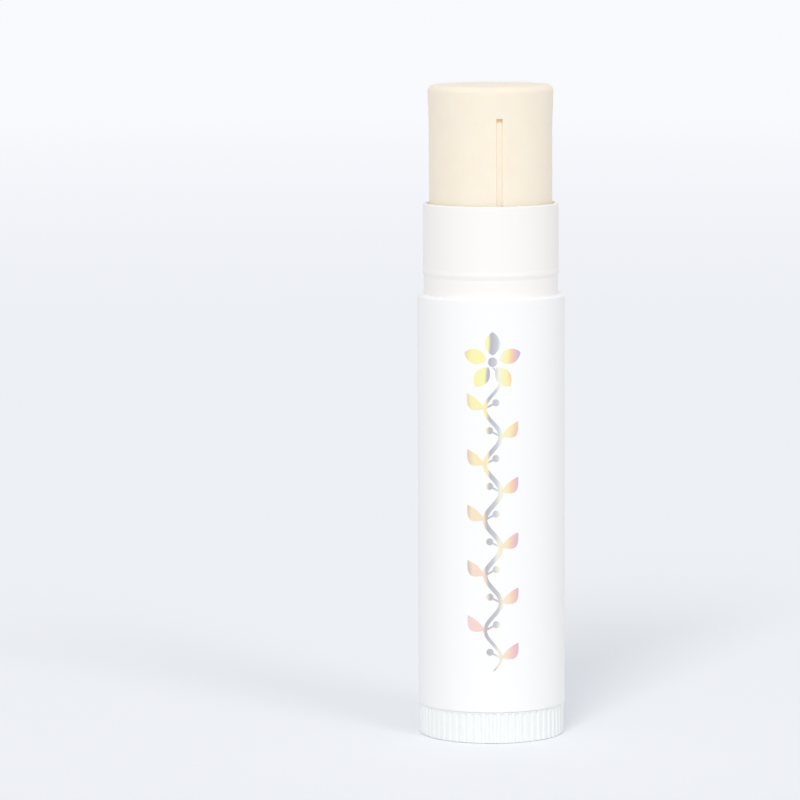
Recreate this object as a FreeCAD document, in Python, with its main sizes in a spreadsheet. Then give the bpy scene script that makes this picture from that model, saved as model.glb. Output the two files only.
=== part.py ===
"""Twist-up lip balm stick, shown uncapped with the balm wound part of the way out.

A white barrel with a stepped neck holds a cast stick of balm. A fluted wheel snaps into the foot of
the barrel and carries a lead screw. An elevator cup rides on the screw and grips the balm, and two
ribs inside the barrel keep both from turning, so that turning the wheel lifts the balm.

Millimetres and degrees, +Z up, the wheel's foot on Z = 0, the axis of the stick on Z. Each piece is
drawn with a guide rib on its own +X and turned into place by the key angle.
"""
import FreeCAD, Part
import os
import types

import Sketcher

# Driving sizes
SIZES = {
    # barrel
    "barrel_diameter": 16.0,
    "barrel_length": 44.66,      # foot of the barrel to the shoulder
    "shoulder_bevel": 0.22,
    "neck_step": 0.66,           # the neck stands this far inside the barrel's outside
    "neck_height": 9.85,         # shoulder to rim
    "neck_wall": 0.47,
    "rim_bevel_share": 0.3,      # of the neck's wall, at each edge of the rim
    "neck_relief": 0.07,         # the neck is drawn in below the cap bead
    "cap_bead_height": 0.05,     # above the neck's outside
    "cap_bead_lift": 1.95,       # shoulder to the foot of the bead
    "cap_bead_ramp": 0.4,
    "cap_bead_land": 0.15,
    "cap_bead_slope": 0.35,
    "mouth_flare": 0.16,         # the bore widens by this towards the rim
    "mouth_depth": 4.4,          # rim to the foot of that flare
    "rib_count": 2,
    "rib_width": 0.45,
    "rib_height": 0.25,
    "rib_depth": 3.6,            # rim to the top of the guide ribs
    "rib_lift": 0.4,             # their foot above the wheel's plug
    "key_angle": -82.8,          # direction of the first guide rib, seen from above
    "snap_ring_height": 0.35,    # ring inside the barrel's foot that holds the wheel
    "snap_ring_lift": 0.6,
    "snap_ring_land": 0.8,
    # turning wheel
    "wheel_step": 0.12,          # the wheel stands this far inside the barrel's outside
    "wheel_height": 3.4,
    "wheel_gap": 0.04,           # running gap between the wheel and the barrel
    "flute_count": 60,
    "flute_depth": 0.13,
    "flute_floor_width": 0.22,
    "flute_outer_width": 0.76,   # of the cutter, one flute depth outside the wheel
    "flute_band": 0.15,          # plain band above the flutes
    "foot_inset": 0.25,          # the standing ring stands this far inside the wheel's outside
    "foot_step": 0.06,           # and lifts the fluted skirt by this
    "foot_width": 1.35,
    "foot_recess": 0.6,
    "web_thickness": 1.4,
    "running_clearance": 0.12,
    "snap_play": 0.08,
    "snap_bead_land": 0.3,
    "plug_lead": 0.4,
    "plug_lead_length": 0.9,
    "plug_wall": 1.0,
    "boss_diameter": 6.6,
    "tang_width": 3.0,
    "tang_gap": 0.1,             # left under the tang, so that the collar seats first
    "press_clearance": 0.02,
    # lead screw
    "collar_diameter": 6.0,
    "collar_thickness": 0.8,
    "collar_drop": 0.5,          # top of the collar below the top of the plug
    "screw_core_diameter": 3.8,
    "screw_crest_diameter": 5.2,
    "screw_lead": 6.5,
    "ridge_root_width": 1.5,
    "ridge_sink": 0.15,          # the ridge is rooted this deep in the core
    "screw_tip_drop": 5.5,       # tip of the screw below the rim
    "screw_tip_length": 1.5,
    "screw_tip_diameter": 2.2,
    # elevator
    "screw_clearance": 0.12,
    "elevator_clearance": 0.08,
    "elevator_seat_gap": 0.2,    # above the plug when the balm is wound down
    "key_clearance": 0.12,
    "cup_wall": 0.9,
    "cup_floor": 1.0,
    "cup_height": 5.0,
    "hub_wall": 0.9,
    "hub_height": 9.0,
    "fin_count": 4,
    "fin_thickness": 0.6,
    "fin_height": 2.5,
    # balm
    "balm_rise": 12.85,          # how far the balm is wound out
    "balm_fill_drop": 0.08,      # its top below the rim when it is wound down
    "balm_clearance": 0.04,
    "balm_edge_bevel": 0.4,
    "cast_gap": 0.05,
    "rib_groove_gap": 0.05,
    # all cuts
    "overrun": 1.0,
}

FULL_TURN = 360
MATCH = 1e-5

doc = FreeCAD.newDocument("lip_balm_stick")
sheet = doc.addObject("Spreadsheet::Sheet", "Sizes")
for row, (alias, number) in enumerate(SIZES.items(), start=1):
    sheet.set(f"A{row}", str(number))
    sheet.setAlias(f"A{row}", alias)
doc.recompute()


class Size:
    """A number together with the sheet formula that gives it."""

    def __init__(self, number, formula):
        self.number = number
        self.formula = formula

    def __add__(self, other):
        return Size(self.number + other.number, f"({self.formula} + {other.formula})")

    def __sub__(self, other):
        return Size(self.number - other.number, f"({self.formula} - {other.formula})")

    def __neg__(self):
        return Size(-self.number, f"(-{self.formula})")

    def __mul__(self, other):
        return Size(self.number * other.number, f"({self.formula} * {other.formula})")

    def __truediv__(self, count):
        return Size(self.number / count, f"({self.formula} / {count})")

    def whole(self, part):
        """How many whole parts of this length lie in it."""
        return Size(self.number // part.number, f"floor({self.formula} / {part.formula})")


ZERO = Size(0, "0")
size = types.SimpleNamespace(**{alias: Size(sheet.get(alias), f"Sizes.{alias}") for alias in SIZES})


def new_body(label):
    body = doc.addObject("PartDesign::Body", label)
    body.Label = label
    body.Placement = FreeCAD.Placement(
        FreeCAD.Vector(0, 0, 0), FreeCAD.Rotation(FreeCAD.Vector(0, 0, 1), size.key_angle.number)
    )
    body.setExpression("Placement.Rotation.Angle", size.key_angle.formula)
    return body


def origin_feature(body, role):
    return next(feature for feature in body.Origin.OriginFeatures if feature.Role == role)


def new_sketch(body, name, plane):
    sketch = body.newObject("Sketcher::SketchObject", name)
    sketch.AttachmentSupport = (origin_feature(body, plane), [""])
    sketch.MapMode = "FlatFace"
    return sketch


def bind(sketch, kind, where, length):
    """Adds a dimension to a sketch and ties it to the sheet."""
    index = sketch.addConstraint(Sketcher.Constraint(kind, *where, length.number))
    sketch.setExpression(f"Constraints[{index}]", length.formula)


def hold(sketch, line, point, x, y):
    """Holds a point of a sketch at its two distances from the sketch's origin."""
    root = (-1, 1)
    if x is ZERO:
        sketch.addConstraint(Sketcher.Constraint("PointOnObject", line, point, -2))
    else:
        bind(sketch, "DistanceX", (*root, line, point), x)
    if y is ZERO:
        sketch.addConstraint(Sketcher.Constraint("PointOnObject", line, point, -1))
    else:
        bind(sketch, "DistanceY", (*root, line, point), y)


def outline(body, name, plane, corners):
    """A closed sketch of straight lines from corner to corner."""
    sketch = new_sketch(body, name, plane)
    points = [FreeCAD.Vector(x.number, y.number, 0) for x, y in corners]
    for start, end in zip(points, points[1:] + points[:1]):
        sketch.addGeometry(Part.LineSegment(start, end))
    for line in range(len(corners)):
        sketch.addConstraint(Sketcher.Constraint("Coincident", line, 2, (line + 1) % len(corners), 1))
    for line, (x, y) in enumerate(corners):
        hold(sketch, line, 1, x, y)
    return sketch


def box_outline(body, name, plane, left, right, bottom, top):
    return outline(body, name, plane, [(left, bottom), (right, bottom), (right, top), (left, top)])


def revolve(body, name, corners):
    """A solid turned round the Z axis from its half section."""
    section = outline(body, f"{name}_section", "XZ_Plane", corners)
    turned = body.newObject("PartDesign::Revolution", name)
    turned.Profile = section
    turned.ReferenceAxis = (section, ["V_Axis"])
    turned.Angle = FULL_TURN
    doc.recompute()
    return turned


def prism(body, kind, name, sketch, length, both_ways=False):
    """A Pad or a Pocket of a sketch."""
    feature = body.newObject(f"PartDesign::{kind}", name)
    feature.Profile = sketch
    feature.Type = "Length"
    feature.setExpression("Length", length.formula)
    feature.Midplane = both_ways
    return feature


def around(body, name, feature, count):
    """Repeats a feature round the Z axis."""
    pattern = body.newObject("PartDesign::PolarPattern", name)
    pattern.Originals = [feature]
    pattern.Axis = (origin_feature(body, "Z_Axis"), [""])
    pattern.Angle = FULL_TURN
    pattern.setExpression("Occurrences", count.formula)
    body.Tip = pattern
    doc.recompute()
    return pattern


def helix(body, kind, name, section, height):
    """The screw's left-hand helix, added to a piece or cut from it."""
    thread = body.newObject(f"PartDesign::{kind}", name)
    thread.Profile = section
    thread.ReferenceAxis = (section, ["V_Axis"])
    thread.Mode = "pitch-height-angle"
    thread.setExpression("Pitch", size.screw_lead.formula)
    thread.setExpression("Height", height.formula)
    thread.LeftHanded = True
    doc.recompute()
    return thread


def bevel(body, name, feature, circles, amount):
    """A Chamfer of the edges of a turned solid that lie at the given radii and heights."""
    edges = []
    for index, edge in enumerate(feature.Shape.Edges, start=1):
        if not isinstance(edge.Curve, Part.Circle):
            continue
        for radius, height in circles:
            place = FreeCAD.Vector(0, 0, height.number)
            if edge.Curve.Center.isEqual(place, MATCH) and abs(edge.Curve.Radius - radius.number) < MATCH:
                edges.append(f"Edge{index}")
    bevelled = body.newObject("PartDesign::Chamfer", name)
    bevelled.Base = (feature, edges)
    bevelled.setExpression("Size", amount.formula)
    doc.recompute()
    return bevelled


# Radii and heights that the pieces share, from the foot of the wheel up and from the outside in
barrel_radius = size.barrel_diameter / 2
neck_radius = barrel_radius - size.neck_step
mouth_radius = neck_radius - size.neck_wall
bore_radius = mouth_radius - size.mouth_flare
snap_ring_radius = bore_radius - size.snap_ring_height
plug_radius = snap_ring_radius - size.running_clearance
snap_bead_radius = bore_radius - size.running_clearance

barrel_foot = size.wheel_height + size.wheel_gap
shoulder = barrel_foot + size.barrel_length
rim = shoulder + size.neck_height
mouth_foot = rim - size.mouth_depth
snap_ring_foot = barrel_foot + size.snap_ring_lift
snap_ring_top = snap_ring_foot + size.snap_ring_land
snap_bead_foot = snap_ring_top + size.snap_play
snap_bead_low = snap_bead_foot + snap_bead_radius - plug_radius
snap_bead_high = snap_bead_low + size.snap_bead_land
plug_top = snap_bead_high + size.plug_lead_length
web_top = size.foot_recess + size.web_thickness
boss_top = plug_top - size.collar_drop - size.collar_thickness

screw_core = size.screw_core_diameter / 2
screw_crest = size.screw_crest_diameter / 2
screw_tip = rim - size.screw_tip_drop
nut_crest = screw_crest + size.screw_clearance
hub_radius = nut_crest + size.hub_wall
cup_radius = bore_radius - size.elevator_clearance
cup_inside = cup_radius - size.cup_wall
elevator_foot = plug_top + size.elevator_seat_gap + size.balm_rise
floor_top = elevator_foot + size.cup_floor
cup_top = elevator_foot + size.cup_height
hub_top = elevator_foot + size.hub_height
balm_top = rim - size.balm_fill_drop + size.balm_rise


# Barrel: a moulded tube with a stepped neck, a cap bead, two guide ribs and a snap ring in its foot
barrel = new_body("barrel")
cap_bead_foot = shoulder + size.cap_bead_lift
cap_bead_low = cap_bead_foot + size.cap_bead_ramp
cap_bead_high = cap_bead_low + size.cap_bead_land
cap_bead_top = cap_bead_high + size.cap_bead_slope
cap_bead_radius = neck_radius + size.cap_bead_height
neck_low_radius = neck_radius - size.neck_relief
tube = revolve(barrel, "tube", [
    (bore_radius, barrel_foot),
    (barrel_radius, barrel_foot),
    (barrel_radius, shoulder),
    (neck_low_radius, shoulder),
    (neck_low_radius, cap_bead_foot),
    (cap_bead_radius, cap_bead_low),
    (cap_bead_radius, cap_bead_high),
    (neck_radius, cap_bead_top),
    (neck_radius, rim),
    (mouth_radius, rim),
    (bore_radius, mouth_foot),
    (bore_radius, snap_ring_top + size.snap_ring_height),
    (snap_ring_radius, snap_ring_top),
    (snap_ring_radius, snap_ring_foot),
])
tube = bevel(barrel, "shoulder_edge", tube, [(barrel_radius, shoulder)], size.shoulder_bevel)
rim_edges = [(neck_radius, rim), (mouth_radius, rim)]
bevel(barrel, "rim_lip", tube, rim_edges, size.neck_wall * size.rim_bevel_share)
rib_foot = plug_top + size.rib_lift
rib_top = rim - size.rib_depth
rib_radius = bore_radius - size.rib_height
wall_middle = mouth_radius + size.neck_wall / 2
rib_section = box_outline(
    barrel, "guide_rib_section", "XZ_Plane", rib_radius, wall_middle, rib_foot, rib_top
)
guide_rib = prism(barrel, "Pad", "guide_rib", rib_section, size.rib_width, both_ways=True)
around(barrel, "guide_ribs", guide_rib, size.rib_count)

# Turning wheel: a fluted dial with a hollow plug that snaps past the ring in the barrel's foot
turn_wheel = new_body("turn_wheel")
wheel_radius = barrel_radius - size.wheel_step
foot_radius = wheel_radius - size.foot_inset
recess_radius = foot_radius - size.foot_width
boss_radius = size.boss_diameter / 2
plug_inside = plug_radius - size.plug_wall
revolve(turn_wheel, "dial", [
    (ZERO, size.foot_recess),
    (recess_radius, size.foot_recess),
    (recess_radius, ZERO),
    (foot_radius, ZERO),
    (foot_radius, size.foot_step),
    (wheel_radius, size.foot_step),
    (wheel_radius, size.wheel_height),
    (plug_radius, size.wheel_height),
    (plug_radius, snap_bead_foot),
    (snap_bead_radius, snap_bead_low),
    (snap_bead_radius, snap_bead_high),
    (plug_radius - size.plug_lead, plug_top),
    (plug_inside, plug_top),
    (plug_inside, web_top),
    (boss_radius, web_top),
    (boss_radius, boss_top),
    (ZERO, boss_top),
])
flute_floor = wheel_radius - size.flute_depth
flute_outside = wheel_radius + size.flute_depth
flute_floor_half = size.flute_floor_width / 2
flute_outer_half = size.flute_outer_width / 2
flute_sketch = outline(turn_wheel, "flute_section", "XY_Plane", [
    (flute_floor, -flute_floor_half),
    (flute_outside, -flute_outer_half),
    (flute_outside, flute_outer_half),
    (flute_floor, flute_floor_half),
])
flute = prism(turn_wheel, "Pocket", "flute", flute_sketch, size.wheel_height - size.flute_band)
flute.Reversed = True
around(turn_wheel, "flutes", flute, size.flute_count)
socket_half = size.tang_width / 2 + size.press_clearance
socket_sketch = box_outline(
    turn_wheel, "socket_section", "XZ_Plane", -socket_half, socket_half, web_top, boss_top + size.overrun
)
prism(turn_wheel, "Pocket", "socket", socket_sketch, socket_half + socket_half, both_ways=True)

# Spindle: the lead screw, pressed into the wheel's boss by a square tang
spindle = new_body("spindle")
collar_radius = size.collar_diameter / 2
collar_top = boss_top + size.collar_thickness
ridge_root_half = size.ridge_root_width / 2
ridge_middle = plug_top + ridge_root_half
thread_height = screw_tip - size.screw_tip_length - plug_top - size.ridge_root_width
revolve(spindle, "shank", [
    (ZERO, boss_top),
    (collar_radius, boss_top),
    (collar_radius, collar_top),
    (screw_core, collar_top),
    (screw_core, screw_tip - size.screw_tip_length),
    (size.screw_tip_diameter / 2, screw_tip),
    (ZERO, screw_tip),
])
tang_half = size.tang_width / 2
tang_sketch = box_outline(
    spindle, "tang_section", "XZ_Plane", -tang_half, tang_half, web_top + size.tang_gap, boss_top + size.ridge_sink
)
prism(spindle, "Pad", "tang", tang_sketch, size.tang_width, both_ways=True)
ridge_section = outline(spindle, "ridge_section", "XZ_Plane", [
    (screw_core - size.ridge_sink, ridge_middle - ridge_root_half),
    (screw_crest, ridge_middle),
    (screw_core - size.ridge_sink, ridge_middle + ridge_root_half),
])
helix(spindle, "AdditiveHelix", "ridge", ridge_section, thread_height)

# Elevator: a cup with a threaded hub, keyed to the guide ribs, with fins that hold the balm
elevator = new_body("elevator")
nut_bore = screw_core + size.screw_clearance
revolve(elevator, "cup", [
    (nut_bore, elevator_foot),
    (cup_radius, elevator_foot),
    (cup_radius, cup_top),
    (cup_inside, cup_top),
    (cup_inside, floor_top),
    (hub_radius, floor_top),
    (hub_radius, hub_top),
    (nut_bore, hub_top),
])
fin_sketch = box_outline(
    elevator, "fin_section", "XZ_Plane",
    hub_radius - size.ridge_sink, cup_inside + size.ridge_sink,
    floor_top - size.ridge_sink, floor_top + size.fin_height,
)
fin = prism(elevator, "Pad", "fin", fin_sketch, size.fin_thickness, both_ways=True)
around(elevator, "fins", fin, size.fin_count)
notch_sketch = box_outline(
    elevator, "notch_section", "XZ_Plane",
    rib_radius - size.key_clearance, cup_radius + size.overrun,
    elevator_foot - size.overrun, cup_top + size.overrun,
)
notch_width = size.rib_width + size.key_clearance + size.key_clearance
notch = prism(elevator, "Pocket", "notch", notch_sketch, notch_width, both_ways=True)
around(elevator, "notches", notch, size.rib_count)
leads_up = (elevator_foot - plug_top).whole(size.screw_lead)
groove_middle = ridge_middle + size.screw_lead * leads_up - size.screw_lead
groove_root_half = ridge_root_half + size.screw_clearance
groove_section = outline(elevator, "groove_section", "XZ_Plane", [
    (nut_bore - size.ridge_sink, groove_middle - groove_root_half),
    (nut_crest, groove_middle),
    (nut_bore - size.ridge_sink, groove_middle + groove_root_half),
])
groove_height = size.hub_height + size.screw_lead + size.screw_lead + size.screw_lead
helix(elevator, "SubtractiveHelix", "groove", groove_section, groove_height)

# Balm: cast into the barrel and the cup, so it carries the bore's flare and a groove for each rib
balm = new_body("balm")
balm_radius = mouth_radius - size.balm_clearance
balm_low = bore_radius - size.balm_clearance
ring_inside = hub_radius + size.cast_gap
ring_outside = cup_inside - size.cast_gap
ring_foot = floor_top + size.cast_gap
step_height = cup_top + size.cast_gap
pocket_top = hub_top + size.cast_gap
screw_hole_top = screw_tip + size.balm_rise + size.elevator_seat_gap
stick = revolve(balm, "stick", [
    (ring_inside, ring_foot),
    (ring_outside, ring_foot),
    (ring_outside, step_height),
    (balm_low, step_height),
    (balm_low, balm_top - size.mouth_depth),
    (balm_radius, balm_top),
    (ZERO, balm_top),
    (ZERO, screw_hole_top),
    (nut_crest, screw_hole_top),
    (nut_crest, pocket_top),
    (ring_inside, pocket_top),
])
bevel(balm, "top_edge", stick, [(balm_radius, balm_top)], size.balm_edge_bevel)
groove_top = rib_top + size.balm_rise + size.rib_groove_gap
rib_groove_sketch = box_outline(
    balm, "rib_groove_section", "XZ_Plane",
    rib_radius - size.rib_groove_gap, balm_radius + size.overrun, ring_foot, groove_top,
)
rib_groove_width = size.rib_width + size.rib_groove_gap + size.rib_groove_gap
rib_groove = prism(balm, "Pocket", "rib_groove", rib_groove_sketch, rib_groove_width, both_ways=True)
around(balm, "rib_grooves", rib_groove, size.rib_count)
fin_slot_sketch = box_outline(
    balm, "fin_slot_section", "XZ_Plane",
    ring_inside - size.overrun, ring_outside + size.overrun,
    ring_foot - size.overrun, floor_top + size.fin_height + size.cast_gap,
)
fin_slot_width = size.fin_thickness + size.cast_gap + size.cast_gap
fin_slot = prism(balm, "Pocket", "fin_slot", fin_slot_sketch, fin_slot_width, both_ways=True)
around(balm, "fin_slots", fin_slot, size.fin_count)

# Every feature must have worked before any file is written
doc.recompute()
for feature in doc.Objects:
    if "Invalid" in feature.State or "Error" in feature.State:
        raise RuntimeError(f"{feature.Label} failed: {feature.State}")
pieces = [barrel, turn_wheel, spindle, elevator, balm]
for piece in pieces:
    if piece.Shape.isNull() or not piece.Shape.isValid() or len(piece.Shape.Solids) != 1:
        raise RuntimeError(f"{piece.Label} is not one valid solid")
os.makedirs("parts", exist_ok=True)
for piece in pieces:
    piece.Shape.exportStep(f"parts/{piece.Label}.step")
    print(piece.Label, round(piece.Shape.Volume, 2))
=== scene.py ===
import math

import bpy
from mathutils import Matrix, Vector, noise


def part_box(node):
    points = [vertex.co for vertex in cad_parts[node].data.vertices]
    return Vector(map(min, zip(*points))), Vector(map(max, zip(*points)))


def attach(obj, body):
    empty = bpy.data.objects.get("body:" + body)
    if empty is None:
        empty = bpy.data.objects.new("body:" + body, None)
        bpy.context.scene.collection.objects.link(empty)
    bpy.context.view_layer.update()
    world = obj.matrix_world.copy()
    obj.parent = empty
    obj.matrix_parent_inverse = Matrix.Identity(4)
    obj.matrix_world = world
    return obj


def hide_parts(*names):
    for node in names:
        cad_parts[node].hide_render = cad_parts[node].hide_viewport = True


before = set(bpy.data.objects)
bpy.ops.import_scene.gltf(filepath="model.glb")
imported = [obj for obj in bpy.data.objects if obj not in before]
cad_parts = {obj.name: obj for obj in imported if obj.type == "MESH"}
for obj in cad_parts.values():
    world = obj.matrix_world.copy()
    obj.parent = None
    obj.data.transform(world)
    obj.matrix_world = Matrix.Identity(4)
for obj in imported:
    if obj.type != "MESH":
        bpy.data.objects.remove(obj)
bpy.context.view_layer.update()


# Barrel: a straight tube, injection moulded in white polypropylene in a polished mould.
# Its stepped neck is left unpolished in the mould, so it comes out a little duller and warmer.
MM = 0.001
RIM_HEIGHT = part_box("barrel")[1][2]
NECK_HEIGHT = 9.85 * MM
SHOULDER_HEIGHT = RIM_HEIGHT - NECK_HEIGHT
SHOULDER_BLUR = 0.1 * MM
POLISHED_WHITE = "fbfbfb"
NECK_WHITE = "fbf8f5"
WALL_RIPPLE = 1.6 * MM
MOULD_GRAIN = 0.35 * MM
GRAIN_HEIGHT = 0.05 * MM
PLASTIC_IOR = 1.49
BARREL_ROUGHNESS = (0.32, 0.42)
BARREL_GRAIN_STRENGTH = 0.06
NECK_DULLNESS = 0.12


def linear(hex_colour):
    channels = [int(hex_colour[i:i + 2], 16) / 255 for i in (0, 2, 4)]
    return [c / 12.92 if c <= 0.04045 else ((c + 0.055) / 1.055) ** 2.4 for c in channels] + [1.0]


def add_node(tree, kind, inputs=None, **settings):
    node = tree.nodes.new(kind)
    for name, value in settings.items():
        setattr(node, name, value)
    for socket, value in (inputs or {}).items():
        if isinstance(value, bpy.types.NodeSocket):
            tree.links.new(value, node.inputs[socket])
        else:
            node.inputs[socket].default_value = value
    return node


def new_material(name):
    material = bpy.data.materials.new(name)
    material.use_nodes = True
    material.node_tree.nodes.clear()
    return material, material.node_tree


# White polypropylene from a polished mould: an even white with a soft satin gloss,
# a faint ripple of the mould in the gloss and a duller, warmer neck.
# The grain of the skin is drawn coarser than it is, so that it shows.
barrel_plastic, tree = new_material("white_polypropylene_polished")
place = add_node(tree, "ShaderNodeTexCoord").outputs["Object"]
height = add_node(tree, "ShaderNodeSeparateXYZ", {0: place}).outputs["Z"]
on_neck = add_node(tree, "ShaderNodeMapRange", {
    "Value": height, "From Min": SHOULDER_HEIGHT, "From Max": SHOULDER_HEIGHT + SHOULDER_BLUR,
}).outputs["Result"]
white = add_node(tree, "ShaderNodeMix", {
    "Factor": on_neck, "A": linear(POLISHED_WHITE), "B": linear(NECK_WHITE),
}, data_type="RGBA").outputs["Result"]
ripple = add_node(tree, "ShaderNodeTexNoise", {
    "Vector": place, "Scale": 1 / WALL_RIPPLE, "Detail": 2.0,
}).outputs["Fac"]
grain = add_node(tree, "ShaderNodeTexNoise", {
    "Vector": place, "Scale": 1 / MOULD_GRAIN, "Detail": 1.0,
}).outputs["Fac"]
gloss = add_node(tree, "ShaderNodeMapRange", {
    "Value": ripple, "To Min": BARREL_ROUGHNESS[0], "To Max": BARREL_ROUGHNESS[1],
}).outputs["Result"]
neck_gloss = add_node(tree, "ShaderNodeMath", {
    0: on_neck, 1: NECK_DULLNESS, 2: gloss,
}, operation="MULTIPLY_ADD").outputs[0]
skin = add_node(tree, "ShaderNodeBump", {
    "Height": grain, "Strength": BARREL_GRAIN_STRENGTH, "Distance": GRAIN_HEIGHT,
}).outputs[0]
plastic = add_node(tree, "ShaderNodeBsdfPrincipled", {
    "Base Color": white, "Roughness": neck_gloss, "Normal": skin, "IOR": PLASTIC_IOR,
})
add_node(tree, "ShaderNodeOutputMaterial", {"Surface": plastic.outputs[0]})
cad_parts["barrel"].material_slots[0].material = barrel_plastic


# Ornament on the barrel's front: a vine with leaves and berries that climbs to one blossom.
# It is holographic foil, hot stamped on the finished barrel,
# so it is a film a few hundredths of a millimetre thick.
BARREL_RADIUS = 8.0 * MM
FILM_SINK = 0.03 * MM
FILM_RISE = 0.012 * MM
ORNAMENT = {
    "Foot Height": 7.9 * MM,
    "Wrap Radius": BARREL_RADIUS - FILM_SINK,
    "Stem Length": 33.0 * MM,
    "Stem Width": 0.5 * MM,
    "Wave Length": 6.0 * MM,
    "Sway": 0.85 * MM,
    "Leaf Length": 2.5 * MM,
    "Leaf Width": 1.25 * MM,
    "Leaf Curl": 0.4 * MM,
    "Stalk Length": 1.35 * MM,
    "Stalk Width": 0.2 * MM,
    "Berry Radius": 0.38 * MM,
    "Petal Length": 2.5 * MM,
    "Petal Width": 1.6 * MM,
    "Heart Radius": 0.5 * MM,
    "Heart Gap": 0.22 * MM,
}
LEAVES_PER_SIDE = 5
PETALS = 5
LEAF_LEAN = math.radians(50)
STALK_LEAN = math.radians(62)
ROUND_CORNERS = 24
STEM_GRID = (3, 300)
STALK_GRID = (2, 10)
LEAF_GRID = (5, 15)
PETAL_GRID = (5, 15)
STEM_TAPER = 0.3
PETAL_FULLNESS = 0.7
BENDS = ((1, 0.25), (-1, 0.75))   # to the right and to the left, each with its share of a wave

vine = bpy.data.node_groups.new("foil_vine", "GeometryNodeTree")
vine.interface.new_socket("Mesh", in_out="OUTPUT", socket_type="NodeSocketGeometry")
sizes = {}
for name in ORNAMENT:
    sizes[name] = vine.interface.new_socket(name, in_out="INPUT", socket_type="NodeSocketFloat")
film_socket = vine.interface.new_socket("Film", in_out="INPUT", socket_type="NodeSocketMaterial")
given = add_node(vine, "NodeGroupInput").outputs
position = add_node(vine, "GeometryNodeInputPosition").outputs[0]
spot = add_node(vine, "ShaderNodeSeparateXYZ", {0: position}).outputs
along = add_node(vine, "ShaderNodeMath", {0: spot["Y"], 1: 0.5}, operation="ADD").outputs[0]
half_turn = add_node(vine, "ShaderNodeMath", {0: along, 1: math.pi}, operation="MULTIPLY").outputs[0]
arch = add_node(vine, "ShaderNodeMath", {0: half_turn}, operation="SINE").outputs[0]


def shaped_strip(x, y, columns, rows):
    # a unit grid, drawn out to the places that the two fields give
    strip = add_node(vine, "GeometryNodeMeshGrid", {
        "Size X": 1.0, "Size Y": 1.0, "Vertices X": columns, "Vertices Y": rows,
    }).outputs["Mesh"]
    point = add_node(vine, "ShaderNodeCombineXYZ", {"X": x, "Y": y}).outputs[0]
    return add_node(vine, "GeometryNodeSetPosition", {"Geometry": strip, "Position": point}).outputs[0]


def disc(radius, centre):
    flat_disc = add_node(vine, "GeometryNodeMeshCircle", {
        "Vertices": ROUND_CORNERS, "Radius": radius,
    }, fill_type="TRIANGLE_FAN").outputs[0]
    return add_node(vine, "GeometryNodeTransform", {"Geometry": flat_disc, "Translation": centre}).outputs[0]


def copies(points, shape, turn):
    return add_node(vine, "GeometryNodeInstanceOnPoints", {
        "Points": points, "Instance": shape, "Rotation": turn,
    }).outputs[0]


def joined(shapes):
    together = add_node(vine, "GeometryNodeJoinGeometry")
    for shape in shapes:
        vine.links.new(shape, together.inputs[0])
    return together.outputs[0]


# the stem sways from side to side and thins towards both ends
stem_run = add_node(vine, "ShaderNodeMath", {
    0: along, 1: given["Stem Length"],
}, operation="MULTIPLY").outputs[0]
pitch = add_node(vine, "ShaderNodeMath", {
    0: math.tau, 1: given["Wave Length"],
}, operation="DIVIDE").outputs[0]
phase = add_node(vine, "ShaderNodeMath", {0: stem_run, 1: pitch}, operation="MULTIPLY").outputs[0]
swing = add_node(vine, "ShaderNodeMath", {0: phase}, operation="SINE").outputs[0]
steepest = add_node(vine, "ShaderNodeMath", {0: given["Sway"], 1: pitch}, operation="MULTIPLY").outputs[0]
fall = add_node(vine, "ShaderNodeMath", {0: phase}, operation="COSINE").outputs[0]
slope = add_node(vine, "ShaderNodeMath", {0: steepest, 1: fall}, operation="MULTIPLY").outputs[0]
square = add_node(vine, "ShaderNodeMath", {0: slope, 1: slope, 2: 1.0}, operation="MULTIPLY_ADD").outputs[0]
stretch = add_node(vine, "ShaderNodeMath", {0: square}, operation="SQRT").outputs[0]
taper = add_node(vine, "ShaderNodeMath", {0: arch, 1: STEM_TAPER}, operation="POWER").outputs[0]
girth = add_node(vine, "ShaderNodeMath", {0: given["Stem Width"], 1: taper}, operation="MULTIPLY").outputs[0]
level_girth = add_node(vine, "ShaderNodeMath", {0: girth, 1: stretch}, operation="MULTIPLY").outputs[0]
offset = add_node(vine, "ShaderNodeMath", {0: spot["X"], 1: level_girth}, operation="MULTIPLY").outputs[0]
stem_across = add_node(vine, "ShaderNodeMath", {
    0: given["Sway"], 1: swing, 2: offset,
}, operation="MULTIPLY_ADD").outputs[0]
stem = shaped_strip(stem_across, stem_run, *STEM_GRID)

# leaves on the outside of each bend, berries on short stalks on the inside
leaf_run = add_node(vine, "ShaderNodeMath", {
    0: along, 1: given["Leaf Length"],
}, operation="MULTIPLY").outputs[0]
leaf_girth = add_node(vine, "ShaderNodeMath", {
    0: arch, 1: given["Leaf Width"],
}, operation="MULTIPLY").outputs[0]
leaf_across = add_node(vine, "ShaderNodeMath", {
    0: spot["X"], 1: leaf_girth,
}, operation="MULTIPLY").outputs[0]
bow = add_node(vine, "ShaderNodeMath", {0: arch, 1: given["Leaf Curl"]}, operation="MULTIPLY").outputs[0]
stalk_run = add_node(vine, "ShaderNodeMath", {
    0: along, 1: given["Stalk Length"],
}, operation="MULTIPLY").outputs[0]
stalk_across = add_node(vine, "ShaderNodeMath", {
    0: spot["X"], 1: given["Stalk Width"],
}, operation="MULTIPLY").outputs[0]
stalk_end = add_node(vine, "ShaderNodeCombineXYZ", {"Y": given["Stalk Length"]}).outputs[0]
stalk = shaped_strip(stalk_across, stalk_run, *STALK_GRID)
fruit = joined([stalk, disc(given["Berry Radius"], stalk_end)])
step = add_node(vine, "ShaderNodeCombineXYZ", {"Y": given["Wave Length"]}).outputs[0]
growth = []
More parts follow.
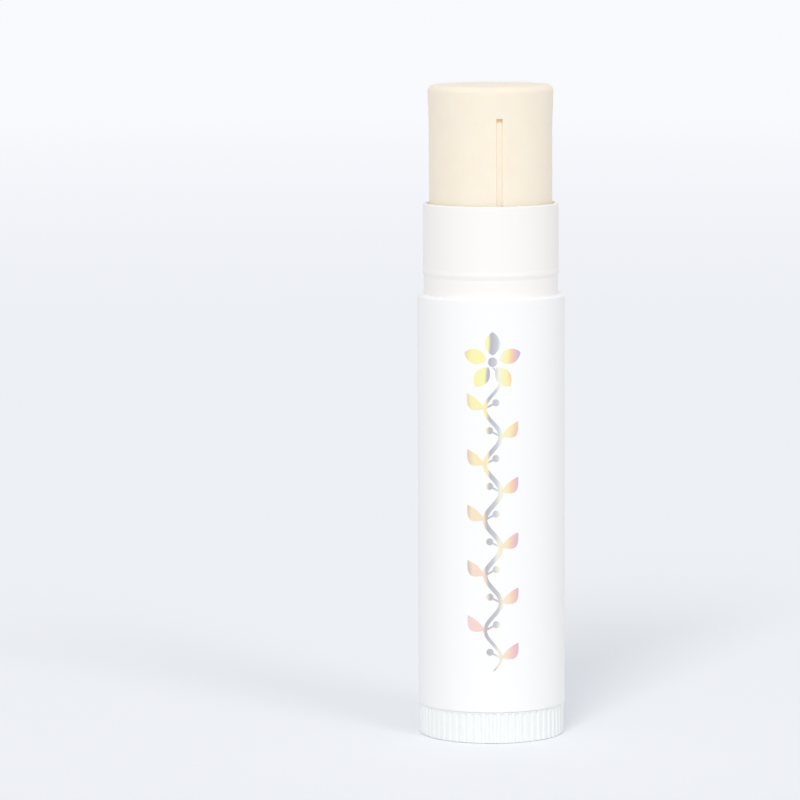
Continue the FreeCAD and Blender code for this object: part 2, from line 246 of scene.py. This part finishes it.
for side, bend_share in BENDS:
    bend_out = add_node(vine, "ShaderNodeMath", {0: given["Sway"], 1: side}, operation="MULTIPLY").outputs[0]
    bend_up = add_node(vine, "ShaderNodeMath", {
        0: given["Wave Length"], 1: bend_share,
    }, operation="MULTIPLY").outputs[0]
    first_bend = add_node(vine, "ShaderNodeCombineXYZ", {"X": bend_out, "Y": bend_up}).outputs[0]
    bends = add_node(vine, "GeometryNodeMeshLine", {
        "Count": LEAVES_PER_SIDE, "Start Location": first_bend, "Offset": step,
    }, mode="OFFSET").outputs[0]
    curled = add_node(vine, "ShaderNodeMath", {
        0: bow, 1: side, 2: leaf_across,
    }, operation="MULTIPLY_ADD").outputs[0]
    leaf = shaped_strip(curled, leaf_run, *LEAF_GRID)
    growth.append(copies(bends, leaf, (0.0, 0.0, -side * LEAF_LEAN)))
    growth.append(copies(bends, fruit, (0.0, 0.0, side * STALK_LEAN)))

# the blossom's heart sits on the top of the stem, with the petals round it
roundness = add_node(vine, "ShaderNodeMath", {0: arch, 1: PETAL_FULLNESS}, operation="POWER").outputs[0]
petal_girth = add_node(vine, "ShaderNodeMath", {
    0: given["Petal Width"], 1: roundness,
}, operation="MULTIPLY").outputs[0]
petal_across = add_node(vine, "ShaderNodeMath", {
    0: spot["X"], 1: petal_girth,
}, operation="MULTIPLY").outputs[0]
petal_foot = add_node(vine, "ShaderNodeMath", {
    0: given["Heart Radius"], 1: given["Heart Gap"],
}, operation="ADD").outputs[0]
petal_run = add_node(vine, "ShaderNodeMath", {
    0: along, 1: given["Petal Length"], 2: petal_foot,
}, operation="MULTIPLY_ADD").outputs[0]
petal = shaped_strip(petal_across, petal_run, *PETAL_GRID)
bloom_up = add_node(vine, "ShaderNodeMath", {
    0: given["Stem Length"], 1: given["Heart Radius"],
}, operation="ADD").outputs[0]
bloom = add_node(vine, "ShaderNodeCombineXYZ", {"Y": bloom_up}).outputs[0]
ring = add_node(vine, "GeometryNodeMeshLine", {
    "Count": PETALS, "Start Location": bloom, "Offset": (0.0, 0.0, 0.0),
}, mode="OFFSET").outputs[0]
order = add_node(vine, "GeometryNodeInputIndex").outputs[0]
spread = add_node(vine, "ShaderNodeMath", {0: order, 1: math.tau / PETALS}, operation="MULTIPLY").outputs[0]
petal_turn = add_node(vine, "ShaderNodeCombineXYZ", {"Z": spread}).outputs[0]
blossom = [copies(ring, petal, petal_turn), disc(given["Heart Radius"], bloom)]

# all of it is laid round the barrel
flat = joined([stem] + growth + blossom)
laid = add_node(vine, "GeometryNodeRealizeInstances", {"Geometry": flat}).outputs[0]
angle = add_node(vine, "ShaderNodeMath", {
    0: spot["X"], 1: given["Wrap Radius"],
}, operation="DIVIDE").outputs[0]
sine = add_node(vine, "ShaderNodeMath", {0: angle}, operation="SINE").outputs[0]
cosine = add_node(vine, "ShaderNodeMath", {0: angle}, operation="COSINE").outputs[0]
right = add_node(vine, "ShaderNodeMath", {
    0: sine, 1: given["Wrap Radius"],
}, operation="MULTIPLY").outputs[0]
back = add_node(vine, "ShaderNodeMath", {
    0: cosine, 1: given["Wrap Radius"],
}, operation="MULTIPLY").outputs[0]
front = add_node(vine, "ShaderNodeMath", {0: back, 1: -1.0}, operation="MULTIPLY").outputs[0]
up = add_node(vine, "ShaderNodeMath", {0: spot["Y"], 1: given["Foot Height"]}, operation="ADD").outputs[0]
on_barrel = add_node(vine, "ShaderNodeCombineXYZ", {"X": right, "Y": front, "Z": up}).outputs[0]
wrapped = add_node(vine, "GeometryNodeSetPosition", {"Geometry": laid, "Position": on_barrel}).outputs[0]
stamped = add_node(vine, "GeometryNodeSetMaterial", {
    "Geometry": wrapped, "Material": given["Film"],
}).outputs[0]
add_node(vine, "NodeGroupOutput", {0: stamped})

# Holographic foil: a metal film whose fine grating scatters white light into pale bands of colour
# across the stick, with silver between. Both are painted reflections in the film's colour, so they stand
# still; they turn from yellow at the top to pink and grey at the foot. The stamp's grain is drawn coarser
# than it is.
BAND_SPAN = 7.4 * MM
BAND_DRIFT = 6.0 * MM
BAND_SWAY_SHARE = 0.3
STAMP_GRAIN = 0.3 * MM
FOIL_ROUGHNESS = (0.26, 0.38)
FOIL_METAL_SHARE = 0.5
# painted reflections: the bands of scattered light across the stick, at the top and at the foot
TOP_BANDS = [
    (0.00, "b4d0c8"), (0.09, "f6c6bc"), (0.20, "fffbb4"), (0.40, "fffcb8"),
    (0.44, "c0bcc8"), (0.54, "d0d5de"), (0.60, "fdfbe2"), (0.72, "fffab0"),
    (0.80, "fdd8b2"), (0.86, "f6c3cc"), (0.92, "c9c4dd"), (1.00, "c8d8ea"),
]
FOOT_BANDS = [
    (0.00, "c1bebe"), (0.14, "cdc5c8"), (0.20, "fdd3d8"), (0.40, "fed8d8"),
    (0.44, "c3bfc0"), (0.56, "cccdcf"), (0.62, "f9efdc"), (0.74, "fde2cf"),
    (0.82, "fac8cd"), (0.90, "cac6cf"), (1.00, "ccd3da"),
]


def colour_bands(tree, across, bands):
    ramp = add_node(tree, "ShaderNodeValToRGB", {"Fac": across})
    stops = ramp.color_ramp.elements
    stops[0].position, stops[0].color = bands[0][0], linear(bands[0][1])
    stops[1].position, stops[1].color = bands[-1][0], linear(bands[-1][1])
    for position, colour in bands[1:-1]:
        stops.new(position).color = linear(colour)
    return ramp.outputs["Color"]


foil, tree = new_material("holographic_foil")
place = add_node(tree, "ShaderNodeTexCoord").outputs["Object"]
axes = add_node(tree, "ShaderNodeSeparateXYZ", {0: place}).outputs
drift = add_node(tree, "ShaderNodeTexNoise", {
    "Vector": place, "Scale": 1 / BAND_DRIFT, "Detail": 0.0,
}).outputs["Fac"]
across = add_node(tree, "ShaderNodeMapRange", {
    "Value": axes["X"], "From Min": -BAND_SPAN / 2, "From Max": BAND_SPAN / 2,
}).outputs["Result"]
sideways = add_node(tree, "ShaderNodeMath", {0: drift, 1: -0.5}, operation="ADD").outputs[0]
shifted = add_node(tree, "ShaderNodeMath", {
    0: sideways, 1: BAND_SWAY_SHARE, 2: across,
}, operation="MULTIPLY_ADD").outputs[0]
upward = add_node(tree, "ShaderNodeMapRange", {
    "Value": axes["Z"],
    "From Min": ORNAMENT["Foot Height"], "From Max": ORNAMENT["Foot Height"] + ORNAMENT["Stem Length"],
}).outputs["Result"]
foot_colours = colour_bands(tree, shifted, FOOT_BANDS)
top_colours = colour_bands(tree, shifted, TOP_BANDS)
# painted reflection: going up, the foot's bands give way to the top's
painted_foil_bands = add_node(tree, "ShaderNodeMix", {
    "Factor": upward, "A": foot_colours, "B": top_colours,
}, data_type="RGBA").outputs["Result"]
grain = add_node(tree, "ShaderNodeTexNoise", {
    "Vector": place, "Scale": 1 / STAMP_GRAIN, "Detail": 2.0,
}).outputs["Fac"]
gloss = add_node(tree, "ShaderNodeMapRange", {
    "Value": grain, "To Min": FOIL_ROUGHNESS[0], "To Max": FOIL_ROUGHNESS[1],
}).outputs["Result"]
film = add_node(tree, "ShaderNodeBsdfPrincipled", {
    "Base Color": painted_foil_bands, "Metallic": FOIL_METAL_SHARE, "Roughness": gloss,
})
add_node(tree, "ShaderNodeOutputMaterial", {"Surface": film.outputs[0]})

ornament = bpy.data.objects.new("foil_ornament", bpy.data.meshes.new("foil_ornament"))
bpy.context.scene.collection.objects.link(ornament)
stamp = ornament.modifiers.new("foil_vine", "NODES")
stamp.node_group = vine
for name, value in ORNAMENT.items():
    stamp[sizes[name].identifier] = value
stamp[film_socket.identifier] = foil
evaluated = ornament.evaluated_get(bpy.context.evaluated_depsgraph_get())
stamped_mesh = bpy.data.meshes.new_from_object(evaluated)
ornament.modifiers.clear()
ornament.data = stamped_mesh
film_wall = ornament.modifiers.new("film_thickness", "SOLIDIFY")
film_wall.thickness = FILM_SINK + FILM_RISE
film_wall.offset = 1.0
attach(ornament, "barrel")


# Turning wheel: white polypropylene, moulded with fine flutes for the finger and thumb.
# Its hollow plug snaps into the barrel's foot, and the spindle's square tang is pressed into its boss.
WHEEL_WHITE = "f6f8f8"
WHEEL_ROUGHNESS = (0.36, 0.5)
WHEEL_GRAIN_STRENGTH = 0.08

# White polypropylene from a plain mould: the barrel's white with a slightly duller skin,
# whose fine grain is drawn as coarse as the barrel's, so that it shows.
wheel_plastic, tree = new_material("white_polypropylene_moulded")
place = add_node(tree, "ShaderNodeTexCoord").outputs["Object"]
grain = add_node(tree, "ShaderNodeTexNoise", {
    "Vector": place, "Scale": 1 / MOULD_GRAIN, "Detail": 2.0,
}).outputs["Fac"]
gloss = add_node(tree, "ShaderNodeMapRange", {
    "Value": grain, "To Min": WHEEL_ROUGHNESS[0], "To Max": WHEEL_ROUGHNESS[1],
}).outputs["Result"]
skin = add_node(tree, "ShaderNodeBump", {
    "Height": grain, "Strength": WHEEL_GRAIN_STRENGTH, "Distance": GRAIN_HEIGHT,
}).outputs[0]
plastic = add_node(tree, "ShaderNodeBsdfPrincipled", {
    "Base Color": linear(WHEEL_WHITE), "Roughness": gloss, "Normal": skin, "IOR": PLASTIC_IOR,
})
add_node(tree, "ShaderNodeOutputMaterial", {"Surface": plastic.outputs[0]})
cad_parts["turn_wheel"].material_slots[0].material = wheel_plastic


# Spindle and elevator: the lead screw, and the cup that climbs it with the balm.
# Both are polypropylene without pigment, used straight from the mould.
MILKY_WHITE = "e9e7e1"
MILKY_DEPTH = 0.6 * MM
MILKY_SHARE = 0.3
MILKY_REACH_SHARES = (1.0, 0.9, 0.8)   # how deep red, green and blue light go
MILKY_ROUGHNESS = (0.45, 0.6)
MILKY_GRAIN_STRENGTH = 0.1

# Natural polypropylene: milky, because a little light passes into it, and rather dull.
natural_plastic, tree = new_material("natural_polypropylene")
place = add_node(tree, "ShaderNodeTexCoord").outputs["Object"]
cloud = add_node(tree, "ShaderNodeTexNoise", {
    "Vector": place, "Scale": 1 / WALL_RIPPLE, "Detail": 3.0,
}).outputs["Fac"]
gloss = add_node(tree, "ShaderNodeMapRange", {
    "Value": cloud, "To Min": MILKY_ROUGHNESS[0], "To Max": MILKY_ROUGHNESS[1],
}).outputs["Result"]
skin = add_node(tree, "ShaderNodeBump", {
    "Height": cloud, "Strength": MILKY_GRAIN_STRENGTH, "Distance": GRAIN_HEIGHT,
}).outputs[0]
plastic = add_node(tree, "ShaderNodeBsdfPrincipled", {
    "Base Color": linear(MILKY_WHITE), "Roughness": gloss, "Normal": skin, "IOR": PLASTIC_IOR,
    "Subsurface Weight": MILKY_SHARE, "Subsurface Radius": MILKY_REACH_SHARES,
    "Subsurface Scale": MILKY_DEPTH,
})
add_node(tree, "ShaderNodeOutputMaterial", {"Surface": plastic.outputs[0]})
for name in ("spindle", "elevator"):
    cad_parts[name].material_slots[0].material = natural_plastic


# Balm: beeswax and oils, poured hot into the barrel from its top and cooled on the elevator's cup.
# It has taken the flare of the bore, a groove from each of the barrel's two guide ribs,
# and a small hollow where each rib ends.
balm_low, balm_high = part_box("balm")
BALM_FOOT = balm_low[2]
BALM_TOP = balm_high[2]
TOP_RADIUS = 6.83 * MM
BORE_RADIUS = 6.67 * MM
FLARE_LENGTH = 4.4 * MM
EDGE_ROUND = 0.75 * MM
CROWN_DIP = 0.1 * MM
CUP_DEPTH = 4.0 * MM
CUP_RING_RADIUS = 5.68 * MM
HUB_RADIUS = 3.67 * MM
HUB_DEPTH = 8.0 * MM
SCREW_HOLE_RADIUS = 2.72 * MM
SCREW_HOLE_DROP = 5.22 * MM
GROOVE_ANGLES = (math.radians(-82.8), math.radians(97.2))
GROOVE_HALF_WIDTH = 0.32 * MM
GROOVE_LIP = 0.05 * MM
GROOVE_DROP = 3.47 * MM
GROOVE_DEPTH = 0.26 * MM
GROOVE_END_BLUR = 0.1 * MM
HOLLOW_HEIGHT = 0.42 * MM
HOLLOW_DEPTH = 0.08 * MM
HOLLOW_BLUR = 0.2 * MM
# size and strength of the patchy painted shade in the hollows at the grooves' top ends
SHADE_PATCH_SPAN = 0.3 * MM
HOLLOW_SHADE_SHARE = 0.8
HOLLOW_SHADE_SPREAD = 0.5
GROOVE_MARGIN = 0.6 * MM
DRAG_DEPTH = 0.018 * MM
DRAG_SPAN = 4.0 * MM
DRAG_LENGTHEN = 2.0
GROOVE_TURNS = 40
BETWEEN_TURNS = 56
CROWN_RINGS = 6
EDGE_RINGS = 8
UPPER_WALL_RINGS = 8
GROOVE_END_RINGS = 32
LOWER_WALL_RINGS = 32
SHARP_EDGE = math.radians(50)
balm_step = BALM_FOOT + CUP_DEPTH
groove_top = BALM_TOP - GROOVE_DROP


def even_steps(first, last, count):
    # from the first value towards the last one, which is left to the next stretch
    return [first + (last - first) * i / count for i in range(count)]


def smooth_step(value):
    value = min(max(value, 0.0), 1.0)
    return value * value * (3 - 2 * value)


def wall_radius(z):
    flare_share = max(0.0, (z - BALM_TOP + FLARE_LENGTH) / FLARE_LENGTH)
    return BORE_RADIUS + (TOP_RADIUS - BORE_RADIUS) * flare_share


# directions of the mesh's corners round the axis, close together at the grooves
turns = []
margin = GROOVE_MARGIN / TOP_RADIUS
for groove in GROOVE_ANGLES:
    turns += even_steps(groove - margin, groove + margin, GROOVE_TURNS)
    turns += even_steps(groove + margin, groove + math.pi - margin, BETWEEN_TURNS)

# rings from the middle of the top, over the edge and down the wall,
# in under the step, and up the screw's hole
edge_inside = wall_radius(BALM_TOP - EDGE_ROUND) - EDGE_ROUND
rings = []
for radius in even_steps(edge_inside / CROWN_RINGS, edge_inside, CROWN_RINGS):
    rings.append((radius, BALM_TOP - CROWN_DIP * (1 - (radius / edge_inside) ** 2), False))
for lean in even_steps(0.0, math.pi / 2, EDGE_RINGS):
    radius = edge_inside + EDGE_ROUND * math.sin(lean)
    rings.append((radius, BALM_TOP - EDGE_ROUND * (1 - math.cos(lean)), False))
near_end = groove_top + 2 * GROOVE_END_BLUR
past_hollow = groove_top - HOLLOW_HEIGHT - 2 * HOLLOW_BLUR
wall = even_steps(BALM_TOP - EDGE_ROUND, near_end, UPPER_WALL_RINGS)
wall += even_steps(near_end, past_hollow, GROOVE_END_RINGS)
wall += even_steps(past_hollow, balm_step, LOWER_WALL_RINGS)
wall.append(balm_step)
rings += [(wall_radius(z), z, True) for z in wall]
rings += [(CUP_RING_RADIUS, z, False) for z in (balm_step, BALM_FOOT)]
rings += [(HUB_RADIUS, z, False) for z in (BALM_FOOT, BALM_FOOT + HUB_DEPTH)]
rings += [(SCREW_HOLE_RADIUS, z, False) for z in (BALM_FOOT + HUB_DEPTH, BALM_TOP - SCREW_HOLE_DROP)]

corners = [(0.0, 0.0, BALM_TOP - CROWN_DIP)]
hollow_shading = [0.0]
for radius, z, on_wall in rings:
    below_end = smooth_step((groove_top - z) / GROOVE_END_BLUR + 0.5) if on_wall else 0.0
    in_hollow = below_end * smooth_step((z - groove_top + HOLLOW_HEIGHT) / HOLLOW_BLUR + 0.5)
    for turn in turns:
        gap = min(abs(math.remainder(turn - groove, math.tau)) for groove in GROOVE_ANGLES) * radius
        in_groove = smooth_step((GROOVE_HALF_WIDTH + GROOVE_LIP - gap) / (2 * GROOVE_LIP))
        depth = in_groove * (GROOVE_DEPTH * below_end + HOLLOW_DEPTH * in_hollow)
        on_skin = Vector((radius * math.cos(turn), radius * math.sin(turn), z))
        if on_wall:
            dragged = Vector((on_skin.x, on_skin.y, z / DRAG_LENGTHEN))
            depth += DRAG_DEPTH * (0.5 + 0.5 * noise.noise(dragged / DRAG_SPAN))
        corners.append(((radius - depth) * math.cos(turn), (radius - depth) * math.sin(turn), z))
        # painted shade in the hollow at the groove's top end, made patchy by noise
        shade_patches = HOLLOW_SHADE_SHARE + HOLLOW_SHADE_SPREAD * noise.noise(on_skin / SHADE_PATCH_SPAN)
        hollow_shading.append(in_groove * in_hollow * shade_patches)
corners.append((0.0, 0.0, BALM_TOP - SCREW_HOLE_DROP))
hollow_shading.append(0.0)

count = len(turns)
last_ring = 1 + (len(rings) - 1) * count
faces = []
for i in range(count):
    j = (i + 1) % count
    faces.append((0, 1 + i, 1 + j))
    for upper in range(1, last_ring, count):
        lower = upper + count
        faces.append((upper + i, lower + i, lower + j, upper + j))
    faces.append((last_ring + i, len(corners) - 1, last_ring + j))
balm_mesh = bpy.data.meshes.new("balm_stick")
balm_mesh.from_pydata(corners, [], faces)
balm_mesh.attributes.new("hollow", "FLOAT", "POINT").data.foreach_set("value", hollow_shading)
balm_mesh.shade_smooth()
balm_mesh.set_sharp_from_angle(angle=SHARP_EDGE)
balm_mesh.update()

# Cast wax balm: a warm cream that light sinks into, dull from the pour with a faint oily sheen,
# a little cloudy, and painted shade, a patchy brown, in the small hollows where the grooves end.
# Its grain is drawn coarser than it is, so that it shows.
CREAM = "fff3e2"
DEEP_CREAM = "feedd9"
# the brown of the painted shade in the hollows
HOLLOW_SHADE_BROWN = "f0d2ac"
CLOUD_SPAN = 2.5 * MM
WAX_GRAIN = 0.25 * MM
WAX_GRAIN_HEIGHT = 0.03 * MM
WAX_GRAIN_STRENGTH = 0.12
WAX_ROUGHNESS = (0.42, 0.58)
WAX_IOR = 1.44
WAX_DEPTH = 0.5 * MM
WAX_GLOW_SHARE = 0.4
WAX_REACH_SHARES = (1.0, 0.75, 0.45)   # how deep red, green and blue light go
wax, tree = new_material("cast_wax_balm")
place = add_node(tree, "ShaderNodeTexCoord").outputs["Object"]
cloud = add_node(tree, "ShaderNodeTexNoise", {
    "Vector": place, "Scale": 1 / CLOUD_SPAN, "Detail": 3.0,
}).outputs["Fac"]
grain = add_node(tree, "ShaderNodeTexNoise", {
    "Vector": place, "Scale": 1 / WAX_GRAIN, "Detail": 2.0,
}).outputs["Fac"]
cream = add_node(tree, "ShaderNodeMix", {
    "Factor": cloud, "A": linear(CREAM), "B": linear(DEEP_CREAM),
}, data_type="RGBA").outputs["Result"]
# painted shade: the cream turns brown where the hollows are
painted_hollow_shade = add_node(tree, "ShaderNodeAttribute", attribute_name="hollow").outputs["Fac"]
cream_and_shade = add_node(tree, "ShaderNodeMix", {
    "Factor": painted_hollow_shade, "A": cream, "B": linear(HOLLOW_SHADE_BROWN),
}, data_type="RGBA").outputs["Result"]
gloss = add_node(tree, "ShaderNodeMapRange", {
    "Value": cloud, "To Min": WAX_ROUGHNESS[0], "To Max": WAX_ROUGHNESS[1],
}).outputs["Result"]
skin = add_node(tree, "ShaderNodeBump", {
    "Height": grain, "Strength": WAX_GRAIN_STRENGTH, "Distance": WAX_GRAIN_HEIGHT,
}).outputs[0]
body = add_node(tree, "ShaderNodeBsdfPrincipled", {
    "Base Color": cream_and_shade, "Roughness": gloss, "Normal": skin, "IOR": WAX_IOR,
    "Subsurface Weight": WAX_GLOW_SHARE, "Subsurface Radius": WAX_REACH_SHARES,
    "Subsurface Scale": WAX_DEPTH,
})
add_node(tree, "ShaderNodeOutputMaterial", {"Surface": body.outputs[0]})
balm_mesh.materials.append(wax)
balm = bpy.data.objects.new("balm_stick", balm_mesh)
bpy.context.scene.collection.objects.link(balm)
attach(balm, "carrier")
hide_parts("balm")


# Studio: a pale floor that runs out of sight, a soft lamp in front and a weaker one to the right,
# and a pale sky. The floor shows a little brighter to the camera than it is lit,
# most of all far off, and keeps the shadows.
FLOOR_RADIUS = 6.0
FLOOR_CORNERS = 64
FLOOR_WHITE = "f3f3f3"
GLOW_NEAR = "414a57"
GLOW_FAR = "6c6d73"
GLOW_START = 0.5
GLOW_END = 1.35
SKY = "f6f7fa"
SKY_LIGHT = 0.685
LAMP_WIDTH = math.radians(20)
LAMP_HEIGHT = math.radians(37)
LAMPS = {"left": (math.radians(-14), 0.97), "right": (math.radians(38), 0.37)}   # turn and strength


def seen_directly(tree):
    # rays from the camera, and what polished and clear things show of the studio
    ray = add_node(tree, "ShaderNodeLightPath").outputs
    mirrored = add_node(tree, "ShaderNodeMath", {
        0: ray["Is Glossy Ray"], 1: ray["Is Transmission Ray"],
    }, operation="MAXIMUM").outputs[0]
    return add_node(tree, "ShaderNodeMath", {
        0: ray["Is Camera Ray"], 1: mirrored,
    }, operation="MAXIMUM").outputs[0]


paper, tree = new_material("pale_studio_paper")
matt = add_node(tree, "ShaderNodeBsdfDiffuse", {"Color": linear(FLOOR_WHITE)}).outputs[0]
place = add_node(tree, "ShaderNodeTexCoord").outputs["Object"]
distance = add_node(tree, "ShaderNodeVectorMath", {0: place}, operation="LENGTH").outputs["Value"]
far = add_node(tree, "ShaderNodeMapRange", {
    "Value": distance, "From Min": GLOW_START, "From Max": GLOW_END,
}).outputs["Result"]
glow_colour = add_node(tree, "ShaderNodeMix", {
    "Factor": far, "A": linear(GLOW_NEAR), "B": linear(GLOW_FAR),
}, data_type="RGBA").outputs["Result"]
glow = add_node(tree, "ShaderNodeEmission", {
    "Color": glow_colour, "Strength": seen_directly(tree),
}).outputs[0]
lit = add_node(tree, "ShaderNodeAddShader", {0: matt, 1: glow}).outputs[0]
add_node(tree, "ShaderNodeOutputMaterial", {"Surface": lit})
floor_mesh = bpy.data.meshes.new("floor")
floor_edge = []
for turn in even_steps(0.0, math.tau, FLOOR_CORNERS):
    floor_edge.append((FLOOR_RADIUS * math.cos(turn), FLOOR_RADIUS * math.sin(turn), 0.0))
floor_mesh.from_pydata(floor_edge, [], [tuple(range(FLOOR_CORNERS))])
floor_mesh.materials.append(paper)
floor = bpy.data.objects.new("floor", floor_mesh)
bpy.context.scene.collection.objects.link(floor)

for side, (turn, strength) in LAMPS.items():
    lamp_data = bpy.data.lights.new(f"soft_lamp_{side}", "SUN")
    lamp_data.energy = strength
    lamp_data.angle = LAMP_WIDTH
    lamp = bpy.data.objects.new(lamp_data.name, lamp_data)
    lamp.rotation_euler = (math.pi / 2 - LAMP_HEIGHT, 0.0, turn)
    bpy.context.scene.collection.objects.link(lamp)

world = bpy.data.worlds.new("pale_sky")
world.use_nodes = True
tree = world.node_tree
tree.nodes.clear()
sky_strength = add_node(tree, "ShaderNodeMapRange", {
    "Value": seen_directly(tree), "To Min": SKY_LIGHT, "To Max": 1.0,
}).outputs["Result"]
sky = add_node(tree, "ShaderNodeBackground", {"Color": linear(SKY), "Strength": sky_strength}).outputs[0]
add_node(tree, "ShaderNodeOutputWorld", {"Surface": sky})
bpy.context.scene.world = world
bpy.context.scene.view_settings.view_transform = "Standard"

# Camera: a long lens just above the stick's top, looking slightly down.
CAMERA_LENS = 202.5
SENSOR_WIDTH = 36.0
CAMERA_PLACE = (-0.00991, -0.486, 0.091)
CAMERA_TURN = (math.radians(83.6), math.radians(0.26), math.radians(-0.03))
camera_data = bpy.data.cameras.new("camera")
camera_data.lens = CAMERA_LENS
camera_data.sensor_width = SENSOR_WIDTH
camera = bpy.data.objects.new("camera", camera_data)
camera.location = CAMERA_PLACE
camera.rotation_euler = CAMERA_TURN
bpy.context.scene.collection.objects.link(camera)
bpy.context.scene.camera = camera
